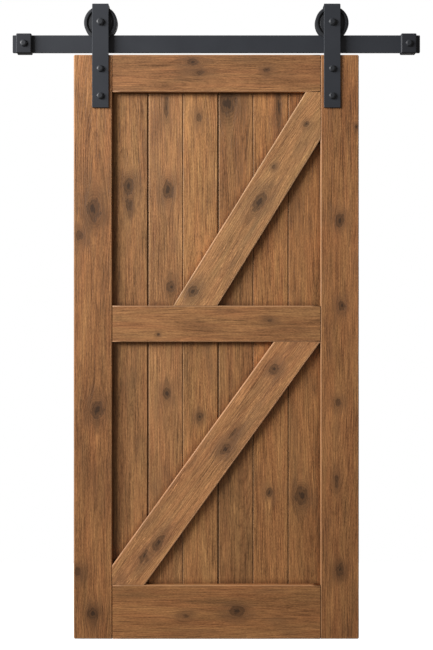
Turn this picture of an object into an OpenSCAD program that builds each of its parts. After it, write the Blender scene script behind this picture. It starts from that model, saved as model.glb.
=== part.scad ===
// Sliding barn door: a ledged and braced door leaf hung by two strap hangers
// from a flat steel track.
// Millimetres. X runs along the track, Z is up, and -Y is the front of the door.
// The origin is midway between the two wall bolts, on the wall plane (Y = 0),
// at the height of the track's centreline.

/* [Door leaf] */
// Height of the door leaf
door_h = 2130; // [1800:10:2600]
// Width of the door leaf
door_w = 1040; // [800:10:1260]
// Radius of the leaf's outer corners, seen from the front
corner_r = 6; // [2:1:12]
// Gap between the bottom of the track and the top of the leaf
top_gap = 10; // [7:1:16]

/* [Front frame] */
// Thickness of the stiles, rails and braces
frame_t = 20; // [16:1:28]
// Chamfer along the front edges of the frame boards
frame_ease = 3; // [1:0.5:5]
// Width of each stile
stile_w = 140; // [115:1:170]
// Height of the top rail
top_rail_h = 136; // [110:1:170]
// Height of the middle rail
middle_rail_h = 132; // [110:1:170]
// Height of the bottom rail
bottom_rail_h = 197; // [160:1:240]
// Height of the middle rail's lower edge above the bottom of the leaf
middle_rail_z = 1083; // [850:1:1300]
// Width of each brace
brace_w = 137; // [110:1:165]
// Upper brace: left stile to the brace's left edge, along the middle rail
upper_brace_foot = 223; // [100:1:300]
// Upper brace: right stile to the brace's left edge, along the top rail
upper_brace_head = 54; // [20:1:120]
// Lower brace: left stile to the brace's left edge, along the bottom rail
lower_brace_foot = -51; // [-120:1:60]
// Lower brace: right stile to the brace's left edge, along the middle rail
lower_brace_head = 170; // [120:1:240]

/* [Planks] */
// Thickness of the tongue-and-groove planks
plank_t = 20; // [16:1:26]
// Face width of the plank at the left edge of the leaf
first_plank_w = 140; // [115:1:170]
// Chamfer along the long edges of the planks
plank_ease = 1; // [0.5:0.5:2]
// Thickness of the tongues
tongue_t = 6; // [4:0.5:8]
// Length of the tongues, and depth of the grooves
tongue_l = 10; // [7:1:13]
// Clearance on each face of a tongue in its groove
tongue_clear = 0.15; // [0.1:0.05:0.4]

/* [Frame fixings] */
// Shank diameter of the frame screws
screw_d = 4.5; // [3.5:0.5:6]
// Head diameter of the frame screws
screw_head_d = 9; // [7.5:0.5:11]
// Length of the frame screws
screw_l = 34; // [28:1:40]
// Diameter of the dowels between rails and stiles
dowel_d = 8; // [6:1:10]
// Length of the dowels
dowel_l = 50; // [40:2:60]
// Radial clearance of screws and dowels in their holes
fixing_clear = 0.05; // [0.02:0.01:0.1]

/* [Track] */
// Length of the track
track_l = 1490; // [1300:10:2000]
// Height of the track
track_h = 64; // [50:1:80]
// Thickness of the track
track_t = 8; // [6:0.5:10]
// Radius of the track's corners, seen from the front
track_corner_r = 3; // [1:0.5:6]

/* [End stops] */
// Width of an end stop along the track
stop_w = 56; // [40:1:75]
// Wall of the stop above and below the track
stop_wall = 4; // [3:0.5:6]
// Thickness of the stop in front of the track
stop_front_t = 14; // [8:1:17]
// Thickness of the stop behind the track
stop_back_t = 12; // [6:1:15]
// Distance from the end of the track to the stop's bolt
stop_inset = 43; // [38:1:60]
// Chamfer on the stop's edges
stop_ease = 3; // [1:0.5:4]
// Clearance between the stop's window and the track
stop_clear = 0.1; // [0.05:0.05:0.3]

/* [Wall fixing] */
// Shank diameter of the wall bolts
wall_bolt_d = 12; // [8:1:14]
// Width across the flats of the wall bolts' heads
wall_bolt_flats = 22; // [17:1:26]
// Height of the wall bolts' heads
wall_bolt_head_h = 8; // [6:0.5:10]
// Length of the wall bolts beyond the wall plane
wall_bolt_reach = 50; // [35:5:70]
// Outer diameter of the wall spacers
spacer_d = 30; // [24:1:40]
// Length of the wall spacers
spacer_l = 28; // [24:1:45]

/* [Hangers] */
// Distance from the side of the leaf to the middle of a hanger
hanger_inset = 98; // [80:1:110]
// Width of a hanger strap
strap_w = 60; // [45:1:70]
// Thickness of a hanger strap
strap_t = 6; // [4:0.5:8]
// Outer radius of the strap's two bends
strap_bend_r = 11; // [9:0.5:14]
// Length of the strap on the face of the leaf
strap_drop = 194; // [175:1:240]
// Length of the strap's back leg below the axle
back_leg_drop = 31; // [24:1:36]
// Distance from the top of the leaf to the upper strap bolt
strap_bolt_top = 52; // [40:1:60]
// Distance between the two strap bolts
strap_bolt_pitch = 99; // [80:1:115]
// Shank diameter of the strap bolts
strap_bolt_d = 12; // [8:1:14]
// Width across the flats of the strap bolts' heads and nuts
strap_bolt_flats = 22; // [17:1:26]
// Height of the strap bolts' heads
strap_bolt_head_h = 8; // [6:0.5:10]
// Outer diameter of the washers behind the leaf
washer_d = 28; // [25:1:36]
// Thickness of the washers
washer_t = 2.5; // [1.5:0.5:4]
// Height of the strap bolts' nuts
strap_nut_h = 9; // [6:0.5:11]
// Radial clearance of bolts in their holes
bolt_clear = 0.05; // [0.02:0.01:0.1]
// Thread left showing past a nut
bolt_end = 2; // [1:0.5:3]

/* [Wheels] */
// Radius of the wheel over its flanges
wheel_r = 61; // [56:0.5:66]
// Radius of the wheel at the root of its groove
root_r = 43.5; // [41:0.5:46]
// Width of the wheel
wheel_w = 28; // [23:1:34]
// Gap between the track and each wall of the groove, at its root
groove_gap = 1; // [0.5:0.25:2]
// Widening of each wall of the groove at the rim
groove_flare = 1.5; // [0.5:0.25:2]
// Gap between the wheel and each leg of the strap
wheel_side_gap = 3.5; // [2:0.5:5]
// Gap between the wheel's rim and the strap above it
wheel_top_gap = 2; // [1.5:0.5:6]
// Gap between the groove's root and the top of the track
track_gap = 0.3; // [0.1:0.1:0.5]
// Depth of the wheel's face inside its rim ring
web_recess = 1.5; // [0.5:0.5:2.5]
// Width of the wheel's rim ring
rim_ring_w = 12; // [8:0.5:13]
// Depth of the channel inside the rim ring
channel_recess = 4; // [3:0.5:5]
// Width of the channel inside the rim ring
channel_w = 5; // [3:0.5:6]
// Diameter of the hub boss on each face
hub_d = 50; // [46:1:54]

/* [Axles and bearings] */
// Diameter of the axle bolts
axle_d = 14; // [12:1:15]
// Width across the flats of the axle bolts' heads and nuts
axle_flats = 24; // [20:1:28]
// Height of the axle bolts' heads
axle_head_h = 9; // [7:0.5:12]
// Height of the axle nuts
axle_nut_h = 10; // [7:0.5:12]
// Outer diameter of the bearings
bearing_d = 40; // [38:1:42]
// Width of the bearings
bearing_w = 14; // [12:0.5:15]
// Depth of the ball track in each race
race_groove = 1; // [0.6:0.1:1.4]
// Running clearance of the balls in their track and in the cage
ball_clear = 0.15; // [0.05:0.05:0.2]
// Radial gap between the cage and each race
cage_gap = 1.2; // [0.6:0.1:1.6]
// Radial wall of each bearing race
race_wall = 3.5; // [3:0.25:4]
// Least distance between balls, as a share of their diameter
ball_spacing = 0.3; // [0.2:0.05:0.6]
// Thickness of the retaining rings
ring_t = 1.6; // [1.2:0.1:2]
// Radial width of the retaining rings
ring_w = 3.5; // [3:0.25:4]
// Height of the shoulder behind each bearing
shoulder = 2.5; // [1.5:0.25:3]

/* [Hidden] */
$fn = 64;
// How far a cut runs past the face that it opens
CUT = 1;
// How far one shape runs into the next where the two are one solid
JOIN = 1;
// Crown of a bolt head: radius of its flat as a share of the flats, and height as a share of the head
HEAD_CROWN_R = 0.32;
HEAD_CROWN_H = 0.35;
// Bevel of a nut's points as a share of its height
NUT_BEVEL = 0.12;
PLANKS = 8;
// Shrinkage gap at each joint between planks, from left to right
joint_gaps = [2, 3, 1.5, 3, 1.5, 2, 2];
// Shares of each plank's width, or of a board's height, at which screws sit
screw_shares = [0.25, 0.75];
// Shares of a rail's height at which its dowels sit
dowel_shares = [0.1, 0.5, 0.9];
stile_screws = 6;
brace_screw_margin = 45;

LEFT = -1;
RIGHT = 1;

// Depths, from the wall forward
stop_back_y = -spacer_l;
track_back_y = stop_back_y - stop_back_t;
track_y = track_back_y - track_t / 2;
track_front_y = track_back_y - track_t;
stop_front_y = track_front_y - stop_front_t;
strap_gap = wheel_w + 2 * wheel_side_gap;
face_y = track_y - strap_gap / 2;
panel_y = face_y + frame_t;
back_y = panel_y + plank_t;
strap_front_y = face_y - strap_t;
strap_back_y = face_y + strap_gap + strap_t;

// Heights, from the track's centreline
leaf_top = -track_h / 2 - top_gap;
leaf_bottom = leaf_top - door_h;
top_rail_bottom = leaf_top - top_rail_h;
middle_rail_bottom = leaf_bottom + middle_rail_z;
middle_rail_top = middle_rail_bottom + middle_rail_h;
bottom_rail_top = leaf_bottom + bottom_rail_h;
axle_z = track_h / 2 + track_gap + root_r;
strap_top = axle_z + wheel_r + wheel_top_gap + strap_t;
strap_bottom = leaf_top - strap_drop;

// Distances from the middle of the track
stop_x = track_l / 2 - stop_inset;
hanger_x = door_w / 2 - hanger_inset;
opening_x = door_w / 2 - stile_w;

// Bearing radii
axle_hole_r = axle_d / 2 + bolt_clear;
inner_race_r = axle_hole_r + race_wall;
outer_race_r = bearing_d / 2 - race_wall;
pitch_r = (inner_race_r + outer_race_r) / 2;
ball_r = (outer_race_r - inner_race_r) / 2 + race_groove;
balls = floor(PI * pitch_r / (ball_r * (1 + ball_spacing)));

// ---------------------------------------------------------------- shapes

// A box from one corner to the opposite one
module span(low, high) {
    translate(low) cube(high - low);
}

// A rectangle from one corner to the opposite one
module rect_span(low, high) {
    translate(low) square(high - low);
}

// The same rectangle with round corners
module round_rect_span(low, high, r) {
    rect_span([low.x + r, low.y], [high.x - r, high.y]);
    rect_span([low.x, low.y + r], [high.x, high.y - r]);
    for (x = [low.x + r, high.x - r], y = [low.y + r, high.y - r]) translate([x, y]) circle(r);
}

// Draws a Y-Z outline and extrudes it along X, centred on the origin
module extrude_x(length) {
    rotate([90, 0, 90]) linear_extrude(length, center = true) children();
}

// Draws an X-Z outline and extrudes it from Y = y0 to Y = y1
module extrude_y(y0, y1) {
    translate([0, y1, 0]) rotate([90, 0, 0]) linear_extrude(y1 - y0) children();
}

// A cylinder along Y, from y0 to y1
module rod(r, y0, y1) {
    translate([0, y0, 0]) rotate([-90, 0, 0]) cylinder(h = y1 - y0, r = r);
}

// A cone along Y, from radius r0 at y0 to radius r1 at y1
module taper(r0, y0, r1, y1) {
    translate([0, y0, 0]) rotate([-90, 0, 0]) cylinder(h = y1 - y0, r1 = r0, r2 = r1);
}

// A tube along Y
module tube(r_in, r_out, y0, y1) {
    difference() {
        rod(r_out, y0, y1);
        rod(r_in, y0 - CUT, y1 + CUT);
    }
}

// Turns a profile, drawn as radius and distance along the axis, about the Y axis
module turned() {
    rotate([-90, 0, 0]) rotate_extrude() children();
}

// Hexagonal prism along Y whose points are turned off at the front and the back
module hex_prism(flats, y0, y1, front_r, front_bevel, back_bevel) {
    point_r = flats / sqrt(3);
    intersection() {
        translate([0, y0, 0]) rotate([-90, 0, 0]) cylinder(h = y1 - y0, r = point_r, $fn = 6);
        turned() polygon([
            [0, y0], [front_r, y0], [point_r, y0 + front_bevel],
            [point_r, y1 - back_bevel], [flats / 2, y1], [0, y1]
        ]);
    }
}

// Forged bolt head: a hexagon with a domed front, seated on its back face
module bolt_head(flats, y0, y1) {
    hex_prism(flats, y0, y1, flats * HEAD_CROWN_R, (y1 - y0) * HEAD_CROWN_H, (y1 - y0) * NUT_BEVEL);
}

// Hexagon nut with both faces chamfered, and its bore
module hex_nut(flats, bore_r, y0, y1) {
    bevel = (y1 - y0) * NUT_BEVEL;
    difference() {
        hex_prism(flats, y0, y1, flats / 2, bevel, bevel);
        rod(bore_r, y0 - CUT, y1 + CUT);
    }
}

// Rectangle whose corners are cut at 45 degrees
module chamfered_rect(size, c) {
    polygon([
        [-size.x / 2 + c, -size.y / 2], [size.x / 2 - c, -size.y / 2],
        [size.x / 2, -size.y / 2 + c], [size.x / 2, size.y / 2 - c],
        [size.x / 2 - c, size.y / 2], [-size.x / 2 + c, size.y / 2],
        [-size.x / 2, size.y / 2 - c], [-size.x / 2, -size.y / 2 + c]
    ]);
}

// Box centred on the origin with every edge chamfered
module chamfered_box(size, c) {
    intersection() {
        linear_extrude(size.z, center = true) chamfered_rect([size.x, size.y], c);
        extrude_y(-size.y / 2, size.y / 2) chamfered_rect([size.x, size.z], c);
        extrude_x(size.x) chamfered_rect([size.y, size.z], c);
    }
}

// Cross-section of a board: width along X, back face on Y = t, front edges eased
module eased_section(x0, x1, t, c) {
    polygon([[x0, c], [x0 + c, 0], [x1 - c, 0], [x1, c], [x1, t], [x0, t]]);
}

// ---------------------------------------------------------------- door leaf

// Left side of plank i, with plank 0 at the left edge of the leaf
function joint_x(i) =
    i == 0 ? -door_w / 2
    : -door_w / 2 + first_plank_w + (i - 1) * (door_w - first_plank_w) / (PLANKS - 1);

// X positions of the screws of plank i in a board that runs from x0 to x1
function plank_screw_xs(i, x0, x1) =
    let (low = max(joint_x(i), x0), high = min(joint_x(i + 1), x1))
    [for (share = screw_shares) low + share * (high - low)];

// X positions of the screws in a rail
function rail_screw_xs() =
    [for (i = [1:PLANKS - 2]) each plank_screw_xs(i, -opening_x, opening_x)];

// Screws of a rail as [x, z], on two lines in turn
function rail_screws(z0, z1) =
    let (xs = rail_screw_xs())
    [for (k = [0:len(xs) - 1]) [xs[k], z0 + screw_shares[k % 2] * (z1 - z0)]];

// Screws of a stile, evenly spaced below the hanger strap
function stile_screws_at(side) =
    let (
        x = side < 0
            ? (-door_w / 2 + min(joint_x(1), -opening_x)) / 2
            : (door_w / 2 + max(joint_x(PLANKS - 1), opening_x)) / 2,
        high = strap_bottom - stile_w / 2,
        low = leaf_bottom + stile_w / 2
    )
    [for (k = [0:stile_screws - 1]) [x, low + k * (high - low) / (stile_screws - 1)]];

// Angle of a brace from upright, in an opening from z0 to z1
function brace_angle(z0, z1, foot, head) = atan((2 * opening_x - foot - head) / (z1 - z0));

// Screws along the middle of a brace, where it crosses the planks
function brace_screws(z0, z1, foot, head) =
    let (
        a = brace_angle(z0, z1, foot, head),
        foot_x = -opening_x + foot + brace_w / 2 / cos(a)
    )
    [
        for (x = rail_screw_xs())
            let (z = z0 + (x - foot_x) / tan(a))
            if (z > z0 + brace_screw_margin && z < z1 - brace_screw_margin) [x, z]
    ];

top_rail_screws = rail_screws(top_rail_bottom, leaf_top);
middle_rail_screws = rail_screws(middle_rail_bottom, middle_rail_top);
bottom_rail_screws = rail_screws(leaf_bottom, bottom_rail_top);
upper_brace_screws = brace_screws(middle_rail_top, top_rail_bottom, upper_brace_foot, upper_brace_head);
lower_brace_screws = brace_screws(bottom_rail_top, middle_rail_bottom, lower_brace_foot, lower_brace_head);
all_screws = concat(
    top_rail_screws, middle_rail_screws, bottom_rail_screws,
    upper_brace_screws, lower_brace_screws, stile_screws_at(LEFT), stile_screws_at(RIGHT)
);

// Countersunk screw driven from the back of the planks, or its hole when grown by a clearance
module screw_shape(clear) {
    head_h = (screw_head_d - screw_d) / 2;
    tip_h = screw_d;
    tip_y = back_y - screw_l - clear;
    rod(screw_d / 2 + clear, tip_y + tip_h, back_y);
    taper(screw_d / 8, tip_y, screw_d / 2 + clear, tip_y + tip_h);
    taper(screw_d / 2 + clear, back_y - head_h, screw_head_d / 2 + clear, back_y);
}

module screws_at(places, clear = 0) {
    for (p = places) translate([p.x, 0, p.y]) screw_shape(clear);
}

// Cuts the holes of the two bolts of a hanger strap
module strap_bolt_holes(side) {
    for (z = strap_bolt_zs())
        translate([side * hanger_x, 0, z]) rod(strap_bolt_d / 2 + bolt_clear, face_y - CUT, back_y + CUT);
}

function strap_bolt_zs() = [leaf_top - strap_bolt_top, leaf_top - strap_bolt_top - strap_bolt_pitch];

// Dowels of one rail, or their holes when grown by a clearance
module dowels(side, z0, z1, clear = 0) {
    half = dowel_l / 2 + clear;
    for (share = dowel_shares)
        translate([side * opening_x, face_y + frame_t / 2, z0 + share * (z1 - z0)])
            rotate([0, 90, 0]) cylinder(h = 2 * half, r = dowel_d / 2 + clear, center = true);
}

// Heights of the three rails as [lower edge, upper edge]
rails = [
    [top_rail_bottom, leaf_top],
    [middle_rail_bottom, middle_rail_top],
    [leaf_bottom, bottom_rail_top]
];

// Outline of the leaf from the front, with rounded corners
module leaf_outline() {
    round_rect_span([-door_w / 2, leaf_bottom], [door_w / 2, leaf_top], corner_r);
}

// Front-frame board from [x0, z0] to [x1, z1], with all four front edges eased
module frame_board(x0, z0, x1, z1) {
    intersection() {
        translate([0, face_y, z0]) linear_extrude(z1 - z0) eased_section(x0, x1, frame_t, frame_ease);
        translate([(x0 + x1) / 2, face_y, 0]) rotate([90, 0, 90])
            linear_extrude(x1 - x0, center = true)
                polygon([
                    [0, z0 + frame_ease], [frame_ease, z0], [frame_t, z0],
                    [frame_t, z1], [frame_ease, z1], [0, z1 - frame_ease]
                ]);
    }
}

module plank(i) {
    first = i == 0;
    last = i == PLANKS - 1;
    x0 = joint_x(i) + (first ? 0 : joint_gaps[i - 1] / 2);
    x1 = joint_x(i + 1) - (last ? 0 : joint_gaps[i] / 2);
    mid_y = plank_t / 2;
    hole_reach = tongue_l + max(screw_head_d, strap_bolt_d);
    color([0.60, 0.42, 0.27]) difference() {
        intersection() {
            translate([0, panel_y, leaf_bottom]) linear_extrude(door_h) difference() {
                union() {
                    polygon([
                        [x0, plank_ease], [x0 + plank_ease, 0], [x1 - plank_ease, 0], [x1, plank_ease],
                        [x1, plank_t - plank_ease], [x1 - plank_ease, plank_t],
                        [x0 + plank_ease, plank_t], [x0, plank_t - plank_ease]
                    ]);
                    if (!last)
                        rect_span([x1 - JOIN, mid_y - tongue_t / 2], [x1 + tongue_l, mid_y + tongue_t / 2]);
                }
                if (!first)
                    rect_span(
                        [x0 - CUT, mid_y - tongue_t / 2 - tongue_clear],
                        [x0 + tongue_l, mid_y + tongue_t / 2 + tongue_clear]
                    );
            }
            extrude_y(panel_y - CUT, back_y + CUT) leaf_outline();
        }
        screws_at([for (p = all_screws) if (p.x > x0 - hole_reach && p.x < x1 + hole_reach) p], fixing_clear);
        for (side = [LEFT, RIGHT]) if (abs(side * hanger_x - (x0 + x1) / 2) < (x1 - x0) / 2 + hole_reach)
            strap_bolt_holes(side);
    }
}

module stile(side) {
    inner = side * opening_x;
    outer = side * door_w / 2;
    color([0.62, 0.43, 0.27]) difference() {
        intersection() {
            frame_board(min(inner, outer), leaf_bottom, max(inner, outer), leaf_top);
            extrude_y(face_y - CUT, panel_y + CUT) leaf_outline();
        }
        for (r = rails) dowels(side, r[0], r[1], fixing_clear);
        screws_at(stile_screws_at(side), fixing_clear);
        strap_bolt_holes(side);
    }
}

module rail(z0, z1, screws) {
    color([0.62, 0.43, 0.27]) difference() {
        frame_board(-opening_x, z0, opening_x, z1);
        for (side = [LEFT, RIGHT]) dowels(side, z0, z1, fixing_clear);
        screws_at(screws, fixing_clear);
    }
}

// Brace in the opening from z0 to z1. Its ends are cut to the rails and stiles.
module brace(z0, z1, foot, head, screws) {
    a = brace_angle(z0, z1, foot, head);
    reach = door_w;
    color([0.64, 0.45, 0.28]) difference() {
        intersection() {
            frame_board(-opening_x, z0, opening_x, z1);
            translate([-opening_x + foot, face_y, z0]) rotate([0, a, 0])
                translate([0, 0, -reach]) linear_extrude(2 * reach + (z1 - z0) / cos(a))
                    eased_section(0, brace_w, frame_t, frame_ease);
        }
        screws_at(screws, fixing_clear);
    }
}

module frame_screws() {
    drive_r = screw_d / 3;
    drive_depth = 1.6;
    color([0.35, 0.33, 0.31]) for (p = all_screws) translate([p.x, 0, p.y]) difference() {
        screw_shape(0);
        translate([0, back_y - drive_depth, 0]) rotate([-90, 0, 0])
            cylinder(h = drive_depth + CUT, r = drive_r, $fn = 6);
    }
}

module frame_dowels() {
    color([0.80, 0.66, 0.46]) for (side = [LEFT, RIGHT], r = rails) dowels(side, r[0], r[1]);
}

// ---------------------------------------------------------------- track side

module track() {
    color([0.27, 0.28, 0.29]) difference() {
        extrude_y(track_front_y, track_back_y)
            round_rect_span([-track_l / 2, -track_h / 2], [track_l / 2, track_h / 2], track_corner_r);
        for (side = [LEFT, RIGHT])
            translate([side * stop_x, 0, 0])
                rod(wall_bolt_d / 2 + bolt_clear, track_front_y - CUT, track_back_y + CUT);
    }
}

// Steel collar round the end of the track, held by the wall bolt
module end_stop(side) {
    depth = stop_back_y - stop_front_y;
    color([0.27, 0.28, 0.29]) translate([side * stop_x, 0, 0]) difference() {
        translate([0, (stop_back_y + stop_front_y) / 2, 0])
            chamfered_box([stop_w, depth, track_h + 2 * stop_wall], stop_ease);
        span(
            [-stop_w, track_front_y - stop_clear, -track_h / 2 - stop_clear],
            [stop_w, track_back_y + stop_clear, track_h / 2 + stop_clear]
        );
        rod(wall_bolt_d / 2 + bolt_clear, stop_front_y - CUT, stop_back_y + CUT);
    }
}

module wall_spacer(side) {
    ease = 1;
    color([0.27, 0.28, 0.29]) translate([side * stop_x, 0, 0]) difference() {
        turned() polygon([
            [0, stop_back_y], [spacer_d / 2 - ease, stop_back_y], [spacer_d / 2, stop_back_y + ease],
            [spacer_d / 2, -ease], [spacer_d / 2 - ease, 0], [0, 0]
        ]);
        rod(wall_bolt_d / 2 + bolt_clear, stop_back_y - CUT, CUT);
    }
}

// Coach screw: a plain shank through stop, track and spacer, then its thread as a pin of root diameter
module wall_bolt(side) {
    thread_r = 0.4 * wall_bolt_d;
    shank_end = -2;
    thread_start = -1;
    tip_h = wall_bolt_d * 0.8;
    color([0.24, 0.25, 0.26]) translate([side * stop_x, 0, 0]) {
        bolt_head(wall_bolt_flats, stop_front_y - wall_bolt_head_h, stop_front_y);
        rod(wall_bolt_d / 2, stop_front_y - JOIN, shank_end);
        taper(wall_bolt_d / 2, shank_end, thread_r, thread_start);
        rod(thread_r, thread_start, wall_bolt_reach - tip_h);
        taper(thread_r, wall_bolt_reach - tip_h, 1, wall_bolt_reach);
    }
}

// ---------------------------------------------------------------- hangers

// Y-Z outline of a strap: rounded outside, or its hollow when taken inwards by the strap's thickness
module strap_outline(inset, bottom) {
    y0 = strap_front_y + inset;
    y1 = strap_back_y - inset;
    top = strap_top - inset;
    r = strap_bend_r - inset;
    rect_span([y0, bottom], [y1, top - r]);
    rect_span([y0 + r, bottom], [y1 - r, top]);
    for (y = [y0 + r, y1 - r]) translate([y, top - r]) circle(r);
}

// Flat bar bent over the wheel: a long leg on the face of the leaf and a short leg behind
module strap(side) {
    back_leg_bottom = axle_z - back_leg_drop;
    color([0.27, 0.28, 0.29]) translate([side * hanger_x, 0, 0]) difference() {
        extrude_x(strap_w) difference() {
            strap_outline(0, strap_bottom);
            strap_outline(strap_t, strap_bottom - CUT);
            rect_span(
                [strap_back_y - strap_t - CUT, strap_bottom - CUT],
                [strap_back_y + CUT, back_leg_bottom]
            );
        }
        translate([0, 0, axle_z]) rod(axle_hole_r, strap_front_y - CUT, strap_back_y + CUT);
        for (z = strap_bolt_zs())
            translate([0, 0, z]) rod(strap_bolt_d / 2 + bolt_clear, strap_front_y - CUT, face_y + CUT);
    }
}

// Hex bolts through the strap and the leaf
module strap_bolts(side) {
    end_y = back_y + washer_t + strap_nut_h + bolt_end;
    color([0.24, 0.25, 0.26]) for (z = strap_bolt_zs()) translate([side * hanger_x, 0, z]) {
        bolt_head(strap_bolt_flats, strap_front_y - strap_bolt_head_h, strap_front_y);
        rod(strap_bolt_d / 2, strap_front_y - JOIN, end_y);
    }
}

module strap_washers(side) {
    color([0.30, 0.31, 0.32]) for (z = strap_bolt_zs())
        translate([side * hanger_x, 0, z])
            tube(strap_bolt_d / 2 + bolt_clear, washer_d / 2, back_y, back_y + washer_t);
}

module strap_nuts(side) {
    nut_y = back_y + washer_t;
    color([0.24, 0.25, 0.26]) for (z = strap_bolt_zs())
        translate([side * hanger_x, 0, z])
            hex_nut(strap_bolt_flats, strap_bolt_d / 2 + bolt_clear, nut_y, nut_y + strap_nut_h);
}

// ---------------------------------------------------------------- wheels

// Moves children to the middle of a wheel, where Y = 0 is its middle plane
module at_wheel(side) {
    translate([side * hanger_x, track_y, axle_z]) children();
}

module axle_bolt(side) {
    head_y = strap_front_y - track_y;
    nut_y = strap_back_y - track_y;
    color([0.24, 0.25, 0.26]) at_wheel(side) {
        bolt_head(axle_flats, head_y - axle_head_h, head_y);
        rod(axle_d / 2, head_y - JOIN, nut_y + axle_nut_h + bolt_end);
    }
}

module axle_nut(side) {
    nut_y = strap_back_y - track_y;
    color([0.24, 0.25, 0.26]) at_wheel(side)
        hex_nut(axle_flats, axle_hole_r, nut_y, nut_y + axle_nut_h);
}

// Two tubes that hold the inner race midway between the strap's legs
module axle_bushes(side) {
    color([0.55, 0.55, 0.56]) at_wheel(side) {
        tube(axle_hole_r, inner_race_r, -strap_gap / 2, -bearing_w / 2);
        tube(axle_hole_r, inner_race_r, bearing_w / 2, strap_gap / 2);
    }
}

// Turned steel wheel with a flanged groove that rides on the edge of the track
module wheel(side) {
    half = wheel_w / 2;
    root_half = track_t / 2 + groove_gap;
    rim_half = root_half + groove_flare;
    ease = 1;
    ring_r = wheel_r - rim_ring_w;
    web_r = ring_r - channel_w;
    seat_r = bearing_d / 2;
    seat_y = bearing_w / 2;
    outline = [
        [seat_r - shoulder, half], [hub_d / 2, half], [hub_d / 2, half - web_recess],
        [web_r, half - web_recess], [web_r, half - channel_recess], [ring_r, half - channel_recess],
        [ring_r, half], [wheel_r - ease, half], [wheel_r, half - ease],
        [wheel_r, rim_half], [root_r, root_half]
    ];
    mirrored = [for (k = [len(outline) - 1:-1:0]) [outline[k].x, -outline[k].y]];
    color([0.22, 0.23, 0.24]) at_wheel(side) difference() {
        turned() polygon(concat(outline, mirrored));
        rod(seat_r, -half - CUT, seat_y);
        rod(seat_r + ring_w / 4, -seat_y - ring_t, -seat_y);
    }
}

// Spring ring that holds the bearing against the shoulder in the wheel
module retaining_ring(side) {
    r_out = bearing_d / 2 + ring_w / 4 - fixing_clear;
    gap_w = 8;
    color([0.40, 0.40, 0.41]) at_wheel(side) difference() {
        tube(r_out - ring_w, r_out, -bearing_w / 2 - ring_t, -bearing_w / 2);
        span([-gap_w / 2, -bearing_w, 0], [gap_w / 2, 0, bearing_d]);
    }
}

// Ring-shaped channel in which the balls run
module raceway() {
    turned() translate([pitch_r, 0]) circle(ball_r + ball_clear);
}

module inner_race(side) {
    color([0.72, 0.72, 0.73]) at_wheel(side) difference() {
        tube(axle_hole_r, inner_race_r, -bearing_w / 2, bearing_w / 2);
        raceway();
    }
}

module outer_race(side) {
    color([0.72, 0.72, 0.73]) at_wheel(side) difference() {
        tube(outer_race_r, bearing_d / 2 - fixing_clear, -bearing_w / 2, bearing_w / 2);
        raceway();
    }
}

// Places children at each ball of a bearing
module at_balls() {
    for (k = [0:balls - 1]) rotate([0, k * 360 / balls, 0]) translate([pitch_r, 0, 0]) children();
}

module ball_cage(side) {
    rim = 1.5;
    half = ball_r + rim;
    wall = outer_race_r - inner_race_r - 2 * cage_gap;
    color([0.62, 0.52, 0.30]) at_wheel(side) difference() {
        tube(inner_race_r + cage_gap, outer_race_r - cage_gap, -half, half);
        at_balls() rotate([0, 90, 0]) cylinder(h = 2 * wall, r = ball_r + ball_clear, center = true);
    }
}

module bearing_balls(side) {
    color([0.80, 0.80, 0.82]) at_wheel(side) at_balls() sphere(ball_r);
}

// ---------------------------------------------------------------- nodes

track();
end_stop(LEFT);  // left_end_stop
end_stop(RIGHT);  // right_end_stop
wall_spacer(LEFT);  // left_wall_spacer
wall_spacer(RIGHT);  // right_wall_spacer
wall_bolt(LEFT);  // left_wall_bolt
wall_bolt(RIGHT);  // right_wall_bolt
plank(0);  // plank_1
plank(1);  // plank_2
plank(2);  // plank_3
plank(3);  // plank_4
plank(4);  // plank_5
plank(5);  // plank_6
plank(6);  // plank_7
plank(7);  // plank_8
stile(LEFT);  // left_stile
stile(RIGHT);  // right_stile
rail(top_rail_bottom, leaf_top, top_rail_screws);  // top_rail
rail(middle_rail_bottom, middle_rail_top, middle_rail_screws);  // middle_rail
rail(leaf_bottom, bottom_rail_top, bottom_rail_screws);  // bottom_rail
brace(middle_rail_top, top_rail_bottom, upper_brace_foot, upper_brace_head, upper_brace_screws);  // upper_brace
brace(bottom_rail_top, middle_rail_bottom, lower_brace_foot, lower_brace_head, lower_brace_screws);  // lower_brace
frame_screws();
frame_dowels();
strap(LEFT);  // left_strap
strap(RIGHT);  // right_strap
strap_bolts(LEFT);  // left_strap_bolts
strap_bolts(RIGHT);  // right_strap_bolts
strap_washers(LEFT);  // left_strap_washers
strap_washers(RIGHT);  // right_strap_washers
strap_nuts(LEFT);  // left_strap_nuts
strap_nuts(RIGHT);  // right_strap_nuts
axle_bolt(LEFT);  // left_axle_bolt
axle_bolt(RIGHT);  // right_axle_bolt
axle_nut(LEFT);  // left_axle_nut
axle_nut(RIGHT);  // right_axle_nut
axle_bushes(LEFT);  // left_axle_bushes
axle_bushes(RIGHT);  // right_axle_bushes
wheel(LEFT);  // left_wheel
wheel(RIGHT);  // right_wheel
retaining_ring(LEFT);  // left_retaining_ring
retaining_ring(RIGHT);  // right_retaining_ring
inner_race(LEFT);  // left_inner_race
inner_race(RIGHT);  // right_inner_race
outer_race(LEFT);  // left_outer_race
outer_race(RIGHT);  // right_outer_race
ball_cage(LEFT);  // left_ball_cage
ball_cage(RIGHT);  // right_ball_cage
bearing_balls(LEFT);  // left_bearing_balls
bearing_balls(RIGHT);  // right_bearing_balls
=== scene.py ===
from functools import partial
from math import atan, cos, pi, radians, sin, sqrt, tau

import bmesh
import bpy
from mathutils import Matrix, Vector, noise


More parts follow.
